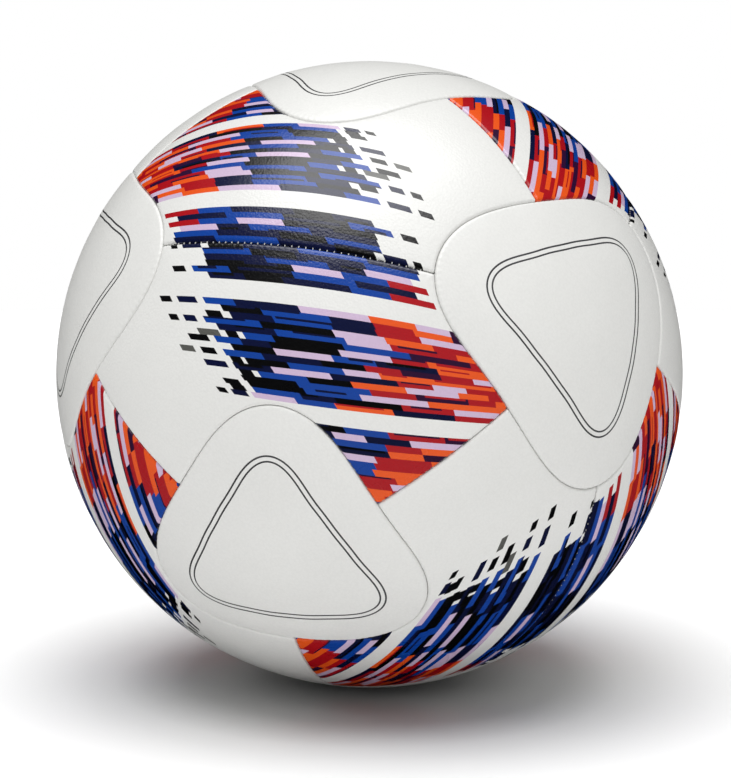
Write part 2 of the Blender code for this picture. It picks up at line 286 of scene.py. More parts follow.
def handedness(basis):
    return 1.0 if np.cross(basis[1], basis[2]).dot(basis[0]) > 0 else -1.0


def counter_clockwise(points, phase, basis):
    """Turns an edge so that it runs counter-clockwise seen from outside the ball."""
    flat = flatten(points, basis)
    x, y = flat[:, 0], flat[:, 1]
    if (x * np.roll(y, -1) - y * np.roll(x, -1)).sum() * handedness(basis) < 0:
        return points[::-1].copy(), phase[::-1].copy()
    return points, phase


# ---------------------------------------------------------------- flat maps of the sphere
def flatten(points, basis):
    """Projection from the centre onto the plane that touches the ball at basis[0]: mm."""
    centre, across, up = basis
    depth = points @ centre
    return np.stack([R * (points @ across) / depth, R * (points @ up) / depth], -1)


def raise_up(flat, basis):
    centre, across, up = basis
    flat = np.asarray(flat, float)
    return unit(centre + (flat[:, :1] * across + flat[:, 1:2] * up) / R)


def within(flat, polygon, chunk=4000):
    """Which points lie inside a closed polygon."""
    a, b = polygon, np.roll(polygon, -1, 0)
    hit = np.zeros(len(flat), bool)
    for i in range(0, len(flat), chunk):
        x, y = flat[i:i + chunk, 0:1], flat[i:i + chunk, 1:2]
        crosses = (a[:, 1] > y) != (b[:, 1] > y)
        rise = np.where(np.abs(b[:, 1] - a[:, 1]) < 1e-12, 1e-12, b[:, 1] - a[:, 1])
        at = a[:, 0] + (b[:, 0] - a[:, 0]) * (y - a[:, 1]) / rise
        hit[i:i + chunk] = (crosses & (x < at)).sum(1) % 2 == 1
    return hit


def edge_distance(points, edge, phase, chunk=1500):
    """How far points on the sphere are from an edge, the stitch phase there, and the nearest segment."""
    a = edge * R
    ab = np.roll(a, -1, 0) - a
    length2 = (ab * ab).sum(1)
    turn = (np.roll(phase, -1) - phase + 0.5) % 1.0 - 0.5
    a_dot = (a * ab).sum(1)
    a2 = (a * a).sum(1)
    distance, at, nearest = np.empty(len(points)), np.empty(len(points)), np.empty(len(points), int)
    for i in range(0, len(points), chunk):
        p = points[i:i + chunk] * R
        t = np.clip((p @ ab.T - a_dot) / length2, 0, 1)
        along = p @ a.T
        cross = p @ ab.T
        d2 = (p * p).sum(1)[:, None] + a2 + t * t * length2 - 2 * along - 2 * t * cross + 2 * t * a_dot
        k = d2.argmin(1)
        rows = np.arange(len(k))
        q = p - (a[k] + ab[k] * t[rows, k][:, None])
        distance[i:i + chunk] = np.linalg.norm(q, axis=1)
        at[i:i + chunk] = phase[k] + t[rows, k] * turn[k]
        nearest[i:i + chunk] = k
    return distance, at, nearest


def sphere_lattice(pitch, basis, reach):
    """Evenly spread points on the sphere within `reach` radians of the map's centre."""
    count = int(4 * math.pi * R * R / (pitch * pitch * 0.866))
    i = np.arange(count)
    z = 1 - 2 * (i + 0.5) / count
    turn = i * math.pi * (3 - math.sqrt(5))
    ring = np.sqrt(1 - z * z)
    points = np.stack([ring * np.cos(turn), ring * np.sin(turn), z], -1)
    return points[points @ basis[0] > math.cos(reach)]


# ---------------------------------------------------------------- surface of a panel
def undulation(points):
    """The slow unevenness of a foam-backed panel."""
    p = points * R
    wave = (np.sin(p @ np.array([0.21, 0.13, -0.17]) + 0.4) * np.sin(p @ np.array([-0.11, 0.19, 0.16]) + 1.1)
            + 0.6 * np.sin(p @ np.array([0.33, -0.28, 0.22]) + 2.2) * np.sin(p @ np.array([0.24, 0.31, -0.29])))
    return 0.045 * wave


class Surface:
    """Outer surface of a panel: its rolled edge, the pull of the stitches and the valve hole."""

    def __init__(self, edge, phase, hole=None, drop=EDGE_DROP, width=EDGE_WIDTH):
        self.edge, self.phase, self.hole, self.drop, self.width = edge, phase, hole, drop, width
        self.left = inward_normals(edge)

    def radius(self, points):
        d, at, _ = edge_distance(points, self.edge, self.phase)
        u = np.clip(1 - d / self.width, 0, 1)
        r = R - self.drop * (1 - np.sqrt(np.maximum(0.0, 1 - u * u)))
        r = r - EDGE_SINK * np.exp(-d / 6.0)
        r = r - PUCKER * (0.5 + 0.5 * np.cos(2 * math.pi * at)) * np.exp(-d / 1.3)
        r = r + undulation(points) * (1 - np.exp(-d / 5.0))
        if self.hole is not None:
            away = np.arccos(np.clip(points @ self.hole, -1, 1)) * R - HOLE_RADIUS
            u = np.clip(1 - away / HOLE_ROLL, 0, 1)
            r = r - HOLE_DROP * (1 - np.sqrt(np.maximum(0.0, 1 - u * u))) - 0.15 * np.exp(-np.maximum(away, 0) / 3.0)
        return r

    def normals(self, points, radius, rim, hole_rim):
        """Smooth normals from the slope of the surface. On the rim they face out of the panel's side."""
        reference = np.where(np.abs(points[:, 2:3]) < 0.9, [[0.0, 0.0, 1.0]], [[1.0, 0.0, 0.0]])
        one = unit(np.cross(points, reference))
        two = np.cross(points, one)
        step = 0.02
        g1 = (self.radius(unit(points + one * step / R)) - self.radius(unit(points - one * step / R))) / (2 * step)
        g2 = (self.radius(unit(points + two * step / R)) - self.radius(unit(points - two * step / R))) / (2 * step)
        n = unit(points - one * g1[:, None] - two * g2[:, None])
        if rim.any():
            _, _, k = edge_distance(points[rim], self.edge, self.phase)
            n[rim] = unit(points[rim] * 0.12 - self.left[k])
        if hole_rim.any():
            inward = unit(self.hole - points[hole_rim] * (points[hole_rim] @ self.hole)[:, None])
            n[hole_rim] = unit(points[hole_rim] * 0.12 + inward)
        return n


def triangulate(points, segments, hand):
    """Constrained triangulation inside the closed outlines, facing outwards."""
    flat, _, faces, _, _, _ = delaunay_2d_cdt([Vector((float(x), float(y))) for x, y in points],
                                              [(int(a), int(b)) for a, b in segments], [], 1, 1e-4)
    flat = np.array([tuple(p) for p in flat])
    tris = np.array([f for f in faces if len(f) == 3])
    a, b, c = flat[tris[:, 0]], flat[tris[:, 1]], flat[tris[:, 2]]
    area = (b[:, 0] - a[:, 0]) * (c[:, 1] - a[:, 1]) - (b[:, 1] - a[:, 1]) * (c[:, 0] - a[:, 0])
    tris[area * hand < 0] = tris[area * hand < 0][:, ::-1]
    return flat, tris


def loop_segments(start, count):
    return [(start + i, start + (i + 1) % count) for i in range(count)]


def cut_lines(lines, surface, edge_flat, basis, spacing=2.4):
    """Splits straight print lines where they meet the rings of the edge, and every few millimetres.

    Returns chains of flat points that stay on the panel, or just past its edge."""
    samples, owner = [], []
    for k, (p, q) in enumerate(lines):
        p, q = np.array(p, float), np.array(q, float)
        n = max(1, int(np.ceil(np.linalg.norm(q - p) / 0.16)))
        samples.append(p + (q - p) * np.linspace(0, 1, n + 1)[:, None])
        owner += [k] * (n + 1)
    samples, owner = np.concatenate(samples), np.array(owner)
    centre_ok = np.linalg.norm(samples, axis=1) < 190
    samples, owner = samples[centre_ok], owner[centre_ok]
    on_ball = raise_up(samples, basis)
    d, _, _ = edge_distance(on_ball, surface.edge, surface.phase)
    inside = within(samples, edge_flat)
    keep = inside | (d < 0.35)
    level = np.searchsorted(np.array(RINGS), np.where(inside, d, -1.0))
    chains, chain, last = [], [], None
    for i in range(len(samples)):
        new_line = i == 0 or owner[i] != owner[i - 1]
        if new_line or not keep[i]:
            if len(chain) > 1:
                if last is not None and last not in chain:
                    chain.append(last)
                chains.append([samples[j] for j in chain])
            chain, last = [], None
            if not keep[i]:
                continue
        if not chain:
            chain = [i]
        else:
            gap = np.linalg.norm(samples[i] - samples[chain[-1]])
            if (level[i] != level[i - 1] and level[i] < 8) or gap >= spacing:
                if gap > 0.12:
                    chain.append(i)
        last = i
        end_of_line = i + 1 == len(samples) or owner[i + 1] != owner[i]
        if end_of_line:
            if last != chain[-1]:
                chain.append(last)
            if len(chain) > 1:
                chains.append([samples[j] for j in chain])
            chain, last = [], None
    return chains


def panel_mesh(name, basis, edge, phase, lines=(), loops=(), ink=None, hole=None, pitch=3.4):
    """A closed cover panel: printed outside, rolled edge, side wall and back."""
    edge, phase = counter_clockwise(edge, phase, basis)
    surface = Surface(edge, phase, hole)
    edge_flat = flatten(edge, basis)
    points, segments = [edge_flat], loop_segments(0, len(edge_flat))
    count = len(edge_flat)

    # rings that follow the edge
    following, before = np.roll(edge, -1, 0), np.roll(edge, 1, 0)
    left = unit(np.cross(edge, following - before))
    for ring in RINGS[1:]:
        candidate = unit(edge * R + left * ring)
        if ring > 1.4:
            candidate = candidate[::2]
        if ring > 2.5:
            candidate = candidate[::2]
        d, _, _ = edge_distance(candidate, edge, phase)
        flat = flatten(candidate, basis)
        ok = (d > ring * 0.985) & within(flat, edge_flat)
        points.append(flat[ok])
        count += ok.sum()

    if hole is not None:
        toward = unit(np.cross(hole, [0.3, 0.1, 1.0]))
        side = np.cross(hole, toward)
        hole_rings = [HOLE_ROLL * (1 - math.cos(math.radians(a))) for a in range(0, 91, 15)] + [1.6, 2.6, 4.0]
        for k, ring in enumerate(hole_rings):
            n = 72 if k < 8 else 36
            turn = np.linspace(0, 2 * math.pi, n, endpoint=False)[:, None]
            angle = (HOLE_RADIUS + ring) / R
            circle = hole * math.cos(angle) + (toward * np.cos(turn) + side * np.sin(turn)) * math.sin(angle)
            flat = flatten(circle, basis)
            if k == 0:
                segments += loop_segments(count, n)
                hole_flat = flat
            points.append(flat)
            count += n

    for loop in loops:                                   # closed printed lines
        segments += loop_segments(count, len(loop))
        points.append(np.asarray(loop))
        count += len(loop)

    for chain in cut_lines(lines, surface, edge_flat, basis) if lines else []:
        points.append(np.array(chain))
        segments += [(count + i, count + i + 1) for i in range(len(chain) - 1)]
        count += len(chain)

    reach = math.acos(min(1.0, float((edge @ basis[0]).min()))) + 0.02
    lattice = sphere_lattice(pitch, basis, reach)
    flat = flatten(lattice, basis)
    ok = within(flat, edge_flat)
    lattice, flat = lattice[ok], flat[ok]
    d, _, _ = edge_distance(lattice, edge, phase)
    ok = d > RINGS[-1] + 0.9
    if hole is not None:
        ok &= np.arccos(np.clip(lattice @ hole, -1, 1)) * R > HOLE_RADIUS + 5.5
    flat = flat[ok]
    existing = np.concatenate(points)
    near = np.ones(len(flat), bool)
    for i in range(0, len(flat), 400):                   # keep clear of the print lines' own points
        gap = np.linalg.norm(flat[i:i + 400, None] - existing[None], axis=2).min(1)
        near[i:i + 400] = gap > 1.1
    points.append(flat[near])
    points = np.concatenate(points)

    flat, tris = triangulate(points, segments, handedness(basis))
    if hole is not None:
        tris = tris[~within(flat[tris].mean(1), hole_flat)]
    used = np.unique(tris)
    remap = np.full(len(flat), -1)
    remap[used] = np.arange(len(used))
    flat, tris = flat[used], remap[tris]

    directions = raise_up(flat, basis)
    pairs = np.concatenate([tris[:, [0, 1]], tris[:, [1, 2]], tris[:, [2, 0]]])
    seen = {(int(a), int(b)) for a, b in pairs}
    border = [(a, b) for a, b in seen if (b, a) not in seen]
    rim = np.zeros(len(flat), bool)
    rim[[a for a, _ in border]] = True
    hole_rim = np.zeros(len(flat), bool)
    if hole is not None:
        hole_rim = rim & (np.arccos(np.clip(directions @ hole, -1, 1)) * R < HOLE_RADIUS + 0.5)
        rim &= ~hole_rim

    radius = surface.radius(directions)
    radius[rim | hole_rim] = np.maximum(radius[rim | hole_rim], SKIN_INNER + 0.05)
    normals = surface.normals(directions, radius, rim, hole_rim)
    centroid = flat[tris].mean(1)
    colours = ink(centroid) if ink else np.tile(INK["white"], (len(tris), 1))

    # the side wall, and a plain back on the same rim
    front = directions * radius[:, None]
    ring = sorted({a for a, _ in border})
    where = {v: len(front) + i for i, v in enumerate(ring)}
    low = directions[ring] * SKIN_INNER
    walls = []
    for a, b in border:
        walls.append((b, a, where[a]))
        walls.append((b, where[a], where[b]))
    back_points = [flat[ring]]
    index_of = {v: i for i, v in enumerate(ring)}
    back_segments = [(index_of[a], index_of[b]) for a, b in border]
    coarse = sphere_lattice(9.0, basis, reach)
    coarse_flat = flatten(coarse, basis)
    ok = within(coarse_flat, edge_flat)
    coarse, coarse_flat = coarse[ok], coarse_flat[ok]
    d, _, _ = edge_distance(coarse, edge, phase)
    ok = d > 4.0
    if hole is not None:
        ok &= np.arccos(np.clip(coarse @ hole, -1, 1)) * R > HOLE_RADIUS + 4
    back_points.append(coarse_flat[ok])
    back_flat, back_tris = triangulate(np.concatenate(back_points), back_segments, handedness(basis))
    if hole is not None:
        back_tris = back_tris[~within(back_flat[back_tris].mean(1), hole_flat)]
    n_ring = len(ring)
    tree = {}
    for i, p in enumerate(back_flat):
        tree.setdefault((round(p[0], 2), round(p[1], 2)), []).append(i)
    back_index = np.full(len(back_flat), -1)
    ring_flat = flat[ring]
    for i, p in enumerate(back_flat):
        gap = np.abs(ring_flat - p).max(1)
        k = int(gap.argmin())
        if gap[k] < 2e-3:
            back_index[i] = len(front) + k
    inner = back_index < 0
    back_index[inner] = len(front) + n_ring + np.arange(inner.sum())
    back_dirs = raise_up(back_flat[inner], basis) if inner.any() else np.zeros((0, 3))
    vertices = np.concatenate([front, low, back_dirs * SKIN_INNER])
    back_faces = back_index[back_tris][:, ::-1]
    faces = np.concatenate([tris, np.array(walls), back_faces])
    low_normals = normals[ring]
    all_normals = np.concatenate([normals, low_normals, -back_dirs])
    face_colours = np.concatenate([colours, np.tile(INK["back"], (len(walls) + len(back_faces), 1))])
    beside = {(int(t[k]), int(t[(k + 1) % 3])): colours[i] for i, t in enumerate(tris) for k in range(3)}
    for i, edge_pair in enumerate(border):               # the film wraps round the edge with its print
        face_colours[len(tris) + 2 * i:len(tris) + 2 * i + 2] = beside[edge_pair]
    return finish_mesh(name, vertices, faces, all_normals, face_colours)


def finish_mesh(name, vertices, faces, normals=None, colours=None, smooth=True):
    """A mesh in metres, with a printed colour on each face and its own normals."""
    mesh = bpy.data.meshes.new(name)
    faces = np.asarray(faces)
    mesh.from_pydata((np.asarray(vertices) / 1000.0).tolist(), [], faces.tolist())
    if colours is not None:
        layer = mesh.color_attributes.new("ink", "FLOAT_COLOR", "CORNER")
        per_corner = np.repeat(np.asarray(colours, np.float32), 3, axis=0)
        layer.data.foreach_set("color", per_corner.ravel())
    if smooth:
        mesh.shade_smooth()
    if normals is not None:
        mesh.normals_split_custom_set_from_vertices([tuple(n) for n in unit(normals)])
    mesh.update()
    return mesh


# ---------------------------------------------------------------- the print
def linear(rgb, printed=1.0):
    out = []
    for v in rgb:
        v /= 255.0
        out.append(v / 12.92 if v <= 0.04045 else ((v + 0.055) / 1.055) ** 2.4)
    return (*out, printed)


INK = {
    "white": linear((227, 227, 224), 0.0), "black": linear((10, 10, 12)), "navy": linear((8, 16, 56)),
    "royal": linear((4, 62, 152)), "lilac": linear((203, 180, 207)), "red": linear((170, 9, 22)),
    "orange": linear((230, 84, 20)), "grey": linear((88, 88, 84)), "plum": linear((48, 12, 52)),
    "line": linear((62, 62, 64)), "back": linear((206, 202, 190), 0.0),
}
SLOPE = 0.80                  # how far a streak's slanted end runs along, per mm across
ART_TWIST = 2.59              # the print follows the long seam

ZONES = (                     # from the cold end to the warm end: (end, weights, shortest, longest)
    (-5, (("black", 5), ("navy", 4), ("royal", 2.4)), 10, 24),
    (14, (("royal", 7), ("navy", 2.4), ("black", 2.2), ("lilac", 0.8)), 12, 27),
    (30, (("royal", 5.0), ("lilac", 2.6), ("navy", 1.8), ("black", 1.2)), 13, 28),
    (44, (("lilac", 1.8), ("red", 4.4), ("navy", 1.3), ("royal", 1.2), ("orange", 0.8)), 13, 28),
    (58, (("red", 5), ("orange", 4), ("lilac", 0.9), ("navy", 0.5), ("plum", 0.5)), 13, 30),
    (500, (("orange", 5.5), ("red", 3.8), ("lilac", 0.6), ("plum", 0.4)), 15, 34),
)
SLIVER = {"black": "navy", "navy": "black", "royal": "navy", "red": "plum", "orange": "red", "plum": "red"}


def row_edges():
    """Row boundaries across the wing, from the long seam, in three bands."""
    band1 = [2.2 * i for i in range(7)]
    band2 = [19.9 + 2.2 * i for i in range(17)]
    band3, y, h = [], 62.0, 2.65
    while y < 150:
        band3.append(y)
        y, h = y + h, h * 1.035
    return band1, band2, band3


def pick(rng, table):
    x = rng.random() * sum(w for _, w in table)
    for name, w in table:
        x -= w
        if x <= 0:
            return name
    return table[-1][0]


def ink_at(row, x):
    return next((k for a, b, k in row or () if a <= x < b), None)


def streaks(rng, start, stop, shift, stretch, rows):
    """One row's streaks: (from, to, ink). Some carry on a streak of the row before, which makes it wider."""
    above = rows[-1][2] if rows else ()
    beyond = rows[-2][2] if len(rows) > 1 else ()
    out, x, last = [], start, None
    while x < stop:
        zone = next(z for z in ZONES if (x - shift) / stretch < z[0])
        over = next(((a, b, k) for a, b, k in above if a <= x + 3 < b), None)
        if (over and abs(over[0] - x) < 7 and over[1] - x > 8 and over[2] != last
                and ink_at(beyond, x + 6) != over[2] and rng.random() < 0.30):
            end, ink = over[1] + rng.uniform(-4, 7), over[2]
        else:
            end = x + rng.uniform(zone[2], zone[3])
            beside = {ink_at(above, x + (end - x) * f) for f in (0.15, 0.5, 0.85)}
            for _ in range(14):
                ink = pick(rng, zone[1])
                if ink != last and (ink not in beside or rng.random() < 0.10):
                    break
        end = min(stop, end)
        if stop - end < 4:
            end = stop
        out.append((x, end, ink))
        x, last = end, ink
    return out


def slivers(rng, rows):
    """Thin dark or bright streaks along the lower edge of some rows: (y0, y1, from, to, ink)."""
    out = []
    for y0, y1, content in rows:
        runs = [c for c in content if c[1] - c[0] > 11 and c[2] in SLIVER]
        for a, b, ink in runs:
            if rng.random() < 0.30:
                length = rng.uniform(0.45, 0.95) * (b - a)
                start = a + rng.uniform(0.0, b - a - length)
                out.append((y0, y0 + rng.choice((0.62, 0.8, 1.05)), start, start + length, SLIVER[ink]))
    return out


def run_out(rng, start):
    """Loose dark dashes ahead of a row's cold end, nearest last."""
    out, x = [], start
    for ink in rng.choice(((), (), ("black",), ("navy",), ("black", "grey"), ("navy", "black"))):
        x -= rng.uniform(1.4, 3.4)
        length = rng.uniform(2.6, 9.0)
        out.insert(0, (x - length, x, ink))
        x -= length
    return out


def wing_art(seed):
    """Rows of the wing print: [y0, y1, [(x0, x1, ink), ...]]; the ends hold at y0 and lean by SLOPE."""
    rng = random.Random(seed)
    band1, band2, band3 = row_edges()
    rows = []
    for y0, y1 in zip(band1, band1[1:]):
        start = -33.0 + 0.5 * y0 + rng.uniform(-6, 5)
        stop = 42.0 + 0.8 * y0 + rng.uniform(-4, 4)
        content = streaks(rng, start, stop, rng.uniform(-3, 5), 0.85, rows)
        content = [(a, b, {"orange": "red", "plum": "navy"}.get(k, k)) for a, b, k in content]
        rows.append([y0, y1, run_out(rng, start) + content])
    for y0, y1 in zip(band2[:16], band2[1:17]):
        start = -21.0 + 0.5 * (y0 - band2[0]) + rng.uniform(-9, 8)
        rows.append([y0, y1, run_out(rng, start) + streaks(rng, start, 140, rng.uniform(-6, 4), 0.95, rows)])
    for y0, y1 in zip(band3, band3[1:]):
        rows.append([y0, y1, streaks(rng, 6.0, 150, 7 + rng.uniform(-5, 5), 0.78, rows)])
    return rows, slivers(rng, rows)


def lean(x, y0):
    """The outer rows turn slightly away from the long seam."""
    return y0 + max(0.0, y0 - 45.0) * 0.0035 * (x - 20.0)


def art_lines(rows, thin):
    """Every straight edge of the print: the row boundaries and the slanted ends."""
    lines = []
    for y0, y1, a, b, _ in thin:
        c, d = a + SLOPE * (y1 - y0), b + SLOPE * (y1 - y0)
        lines += [((a, lean(a, y0)), (c, lean(c, y1))), ((b, lean(b, y0)), (d, lean(d, y1))),
                  ((c, lean(c, y1)), (d, lean(d, y1)))]
    spans = {}
    for y0, y1, content in rows:
        if not content:
            continue
        low = min(a for a, _, _ in content)
        high = max(b for _, b, _ in content)
        for y, shift in ((y0, 0.0), (y1, SLOPE * (y1 - y0))):
            if y < 0.1:
                continue
            key = round(y, 4)
            lo, hi = spans.get(key, (1e9, -1e9))
            spans[key] = (min(lo, low + shift), max(hi, high + shift))
        ends = sorted({x for a, b, _ in content for x in (a, b)})
        for x in ends:
            top = x + SLOPE * (y1 - y0)
            lines.append(((x, lean(x, y0)), (top, lean(top, y1))))
    for y, (lo, hi) in spans.items():
        lines.append(((lo, lean(lo, y)), (hi, lean(hi, y))))
    return lines


def wing_ink(rows, thin):
    y_low = np.array([r[0] for r in rows])
    y_high = np.array([r[1] for r in rows])

    def colour(flat):
        x, y = flat[:, 0], flat[:, 1]
        a = 0.0035 * (x - 20.0)
        y0 = np.where(y > 45.0, (y + 45.0 * a) / (1.0 + a), y)
        index = np.searchsorted(y_low, y0, side="right") - 1
        out = np.tile(np.array(INK["white"]), (len(flat), 1))
        for i in range(len(flat)):
            k = index[i]
            if k < 0:
                if y[i] > -3 and rows[0][0] == 0.0:
                    k = 0
                else:
                    continue
            if y0[i] >= y_high[k]:
                continue
            xs = x[i] - SLOPE * (y0[i] - y_low[k])
            for s, e, ink in rows[k][2]:
                if s <= xs < e:
                    out[i] = INK[ink]
                    break
        for low, high, start, end, ink in thin:
            xs = x - SLOPE * (y0 - low)
            out[(y0 >= low) & (y0 < high) & (xs >= start) & (xs < end)] = INK[ink]
        return out

    return colour


# Where the double line sits on each triangle panel: the print is never quite in the middle.
# (mm towards the panel's first direction, mm to its left, scale, degrees turned)
REGISTER = {
    "a1": (0.3, -0.4, 0.995, 1.0), "a2": (0.5, 0.2, 0.993, 1.2), "a3": (-0.6, 0.5, 0.996, 1.4), "a4": (0.0, -1.4, 1.0, 1.5),
    "b1": (1.3, 1.8, 0.969, 0.0), "b2": (-0.5, 0.7, 0.972, 0.3), "b3": (-3.6, -4.4, 1.018, 0.0), "b4": (0.6, -0.8, 0.97, -0.3),
}


def double_line(corner, basis, register):
    """The two thin lines printed inside a triangle panel, as four closed loops on its flat map."""
    normal, toward, left = frame_at(corner)
    ahead, aside, scale, turned = register
    normal = unit(normal + (toward * ahead + left * aside) / R)
    toward = unit(toward - normal * toward.dot(normal))
    left = np.cross(normal, toward)
    phi = np.linspace(0, 2 * math.pi, 420, endpoint=False)
    reach = np.radians(scale * (16.2 + 3.4 * np.cos(3 * phi) + 0.85 * np.cos(6 * phi) + 0.2 * np.cos(9 * phi)))[:, None]
    p = phi[:, None] + math.radians(turned)
    middle = normal * np.cos(reach) + (toward * np.cos(p) + left * np.sin(p)) * np.sin(reach)
    loops = []
    for inwards in (-0.30, 0.30, 1.55, 2.13):
        side = unit(np.cross(middle, np.roll(middle, -1, 0) - np.roll(middle, 1, 0)))
        loop = unit(middle * R + side * inwards)
        flat = flatten(loop, basis)
        steps = np.linalg.norm(np.roll(flat, -1, 0) - flat, axis=1)
        length = np.concatenate([[0], np.cumsum(steps)])
        n = int(length[-1] / 0.75)
        closed = np.concatenate([flat, flat[:1]])
        s = np.linspace(0, length[-1], n, endpoint=False)
        loops.append(np.stack([np.interp(s, length, closed[:, 0]), np.interp(s, length, closed[:, 1])], -1))
    return loops


def line_ink(loops):
    def colour(flat):
        inside = [within(flat, loop) for loop in loops]
        drawn = (inside[0] & ~inside[1]) | (inside[2] & ~inside[3])
        out = np.tile(np.array(INK["white"]), (len(flat), 1))
        out[drawn] = INK["line"]
        return out

    return colour


# ---------------------------------------------------------------- materials
def nodes_of(name):
    mat = bpy.data.materials.new(name)
    mat.use_nodes = True
    tree = mat.node_tree
    shader = tree.nodes["Principled BSDF"]
    return mat, tree, shader


def texture(tree, kind, coords, **values):
    node = tree.nodes.new(kind)
    tree.links.new(coords, node.inputs["Vector"])
    for key, value in values.items():
        if key in node.inputs:
            node.inputs[key].default_value = value
        else:
            setattr(node, key, value)
    return node


def ramp(tree, source, low, high, a, b):
    """A value mapped from low..high to a..b."""
    node = tree.nodes.new("ShaderNodeMapRange")
    tree.links.new(source, node.inputs["Value"])
    node.inputs["From Min"].default_value = low
    node.inputs["From Max"].default_value = high
    node.inputs["To Min"].default_value = a
    node.inputs["To Max"].default_value = b
    return node.outputs["Result"]


def math_node(tree, operation, one, two):
    node = tree.nodes.new("ShaderNodeMath")
    node.operation = operation
    for socket, value in zip(node.inputs, (one, two)):
        if isinstance(value, (int, float)):
            socket.default_value = value
        else:
            tree.links.new(value, socket)
    return node.outputs["Value"]


def tint(tree, colour, factor, amount):
    """Darkens a colour by up to `amount` where factor is 1."""
    node = tree.nodes.new("ShaderNodeMix")
    node.data_type = "RGBA"
    node.blend_type = "MULTIPLY"
    scaled = math_node(tree, "MULTIPLY", factor, amount)
    tree.links.new(scaled, node.inputs["Factor"])
    tree.links.new(colour, node.inputs["A"])
    node.inputs["B"].default_value = (0.0, 0.0, 0.0, 1.0)
    return node.outputs["Result"]


def cover_material(name, pebble, roughness, bump):
    """Moulded cover film: printed colour, fine pebble grain, satin finish."""
    mat, tree, shader = nodes_of(name)
    coords = tree.nodes.new("ShaderNodeTexCoord").outputs["Object"]
    ink = tree.nodes.new("ShaderNodeAttribute")
    ink.attribute_name = "ink"
    cloud = texture(tree, "ShaderNodeTexNoise", coords, Scale=28.0, Detail=3.0, Roughness=0.55)
    speck = texture(tree, "ShaderNodeTexNoise", coords, Scale=2600.0, Detail=2.0)
    cells = texture(tree, "ShaderNodeTexVoronoi", coords, Scale=1000.0 / pebble, feature="SMOOTH_F1", Smoothness=0.55)
    grain = texture(tree, "ShaderNodeTexNoise", coords, Scale=1000.0 / pebble * 0.7, Detail=3.0, Roughness=0.6)
    pores = ramp(tree, cells.outputs["Distance"], 0.25, 0.75, 0.0, 1.0)

    mottle_and_pore_shade = tint(tree, ink.outputs["Color"], ramp(tree, cloud.outputs["Fac"], 0.35, 0.7, 0.0, 1.0), 0.035)
    # painted shade: the colour darkens by 3% in the hollows of the pebble grain, where the bump is lowest
    mottle_and_pore_shade = tint(tree, mottle_and_pore_shade, pores, 0.03)
    mottle_and_pore_shade = tint(tree, mottle_and_pore_shade, ramp(tree, speck.outputs["Fac"], 0.5, 0.8, 0.0, 1.0), 0.02)
    tree.links.new(mottle_and_pore_shade, shader.inputs["Base Color"])

    rough = ramp(tree, cloud.outputs["Fac"], 0.3, 0.7, roughness - 0.03, roughness + 0.05)
    rough = math_node(tree, "SUBTRACT", rough, math_node(tree, "MULTIPLY", ink.outputs["Alpha"], 0.05))
    tree.links.new(rough, shader.inputs["Roughness"])

    height = math_node(tree, "ADD", math_node(tree, "MULTIPLY", pores, -0.65),
                       math_node(tree, "MULTIPLY", grain.outputs["Fac"], 0.7))
    relief = tree.nodes.new("ShaderNodeBump")
    relief.inputs["Strength"].default_value = bump
    relief.inputs["Distance"].default_value = 0.00006
    tree.links.new(height, relief.inputs["Height"])
    tree.links.new(relief.outputs["Normal"], shader.inputs["Normal"])
    shader.inputs["Specular IOR Level"].default_value = 0.60
    shader.inputs["Subsurface Weight"].default_value = 0.0
    return mat


def thread_material(name, colour):
    """Twisted polyester: fine diagonal strands, matt with a faint sheen."""
    mat, tree, shader = nodes_of(name)
    coords = tree.nodes.new("ShaderNodeTexCoord").outputs["Object"]
    strands = texture(tree, "ShaderNodeTexWave", coords, Scale=900.0, Distortion=1.5, Detail=1.0,
                      wave_type="BANDS", bands_direction="DIAGONAL")
    fuzz = texture(tree, "ShaderNodeTexNoise", coords, Scale=5000.0, Detail=2.0)
    # painted shade: the thread's colour is 28% darker in the grooves between the strands, where the bump is lowest
    base = tree.nodes.new("ShaderNodeMix")
    base.data_type = "RGBA"
    tree.links.new(strands.outputs["Fac"], base.inputs["Factor"])
    base.inputs["A"].default_value = tuple(c * 0.72 for c in colour[:3]) + (1.0,)
    base.inputs["B"].default_value = tuple(colour[:3]) + (1.0,)
    tree.links.new(tint(tree, base.outputs["Result"], fuzz.outputs["Fac"], 0.12), shader.inputs["Base Color"])
    tree.links.new(ramp(tree, fuzz.outputs["Fac"], 0.3, 0.7, 0.62, 0.85), shader.inputs["Roughness"])
    relief = tree.nodes.new("ShaderNodeBump")
    relief.inputs["Strength"].default_value = 0.5
    relief.inputs["Distance"].default_value = 0.00008
    tree.links.new(math_node(tree, "ADD", strands.outputs["Fac"], math_node(tree, "MULTIPLY", fuzz.outputs["Fac"], 0.4)),
                   relief.inputs["Height"])
    tree.links.new(relief.outputs["Normal"], shader.inputs["Normal"])
    shader.inputs["Sheen Weight"].default_value = 0.25
    return mat


